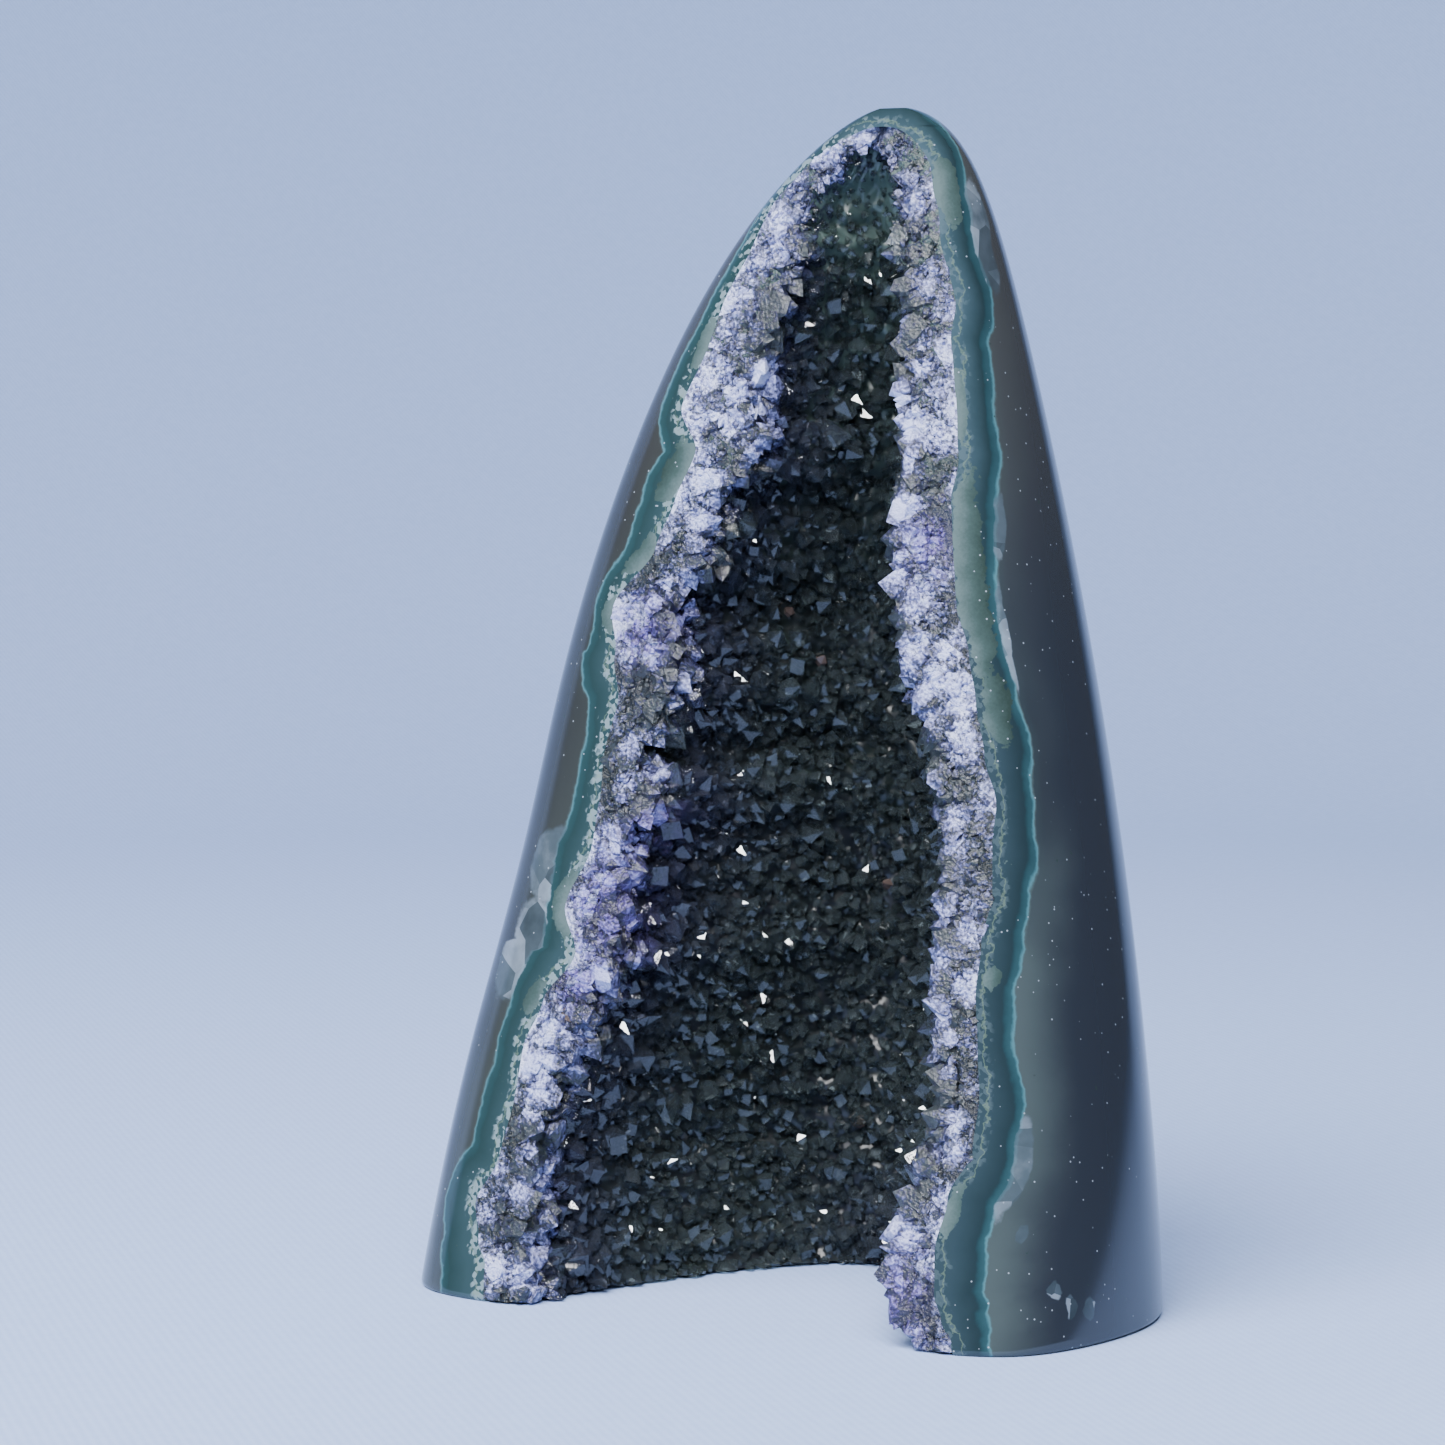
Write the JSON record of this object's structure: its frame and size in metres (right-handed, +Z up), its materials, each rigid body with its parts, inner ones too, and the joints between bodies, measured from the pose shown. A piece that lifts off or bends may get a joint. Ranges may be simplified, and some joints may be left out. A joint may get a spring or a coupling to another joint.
{
  "type": "amethyst geode",
  "caption": "Free-standing polished agate tower, cut flat at the base, with a hollow lined with small amethyst crystals that opens at the front and the base.",
  "frame": {"origin": "middle of the bounding box's base, in the plane that the geode stands on", "axes": "+Z up, the hollow opens towards -Y, +X to the right of the hollow as one looks into it"},
  "size_m": [0.0649, 0.0416, 0.0998],
  "materials": {
    "polished_agate": "polished, dark blue-grey with a teal band at the front",
    "amethyst_crystal": "natural crystal faces, pale violet at the rim and dark inside"
  },
  "bodies": {
    "root": {"agate_wall": "polished_agate", "crystal_crust": "amethyst_crystal"}
  },
  "joints": []
}
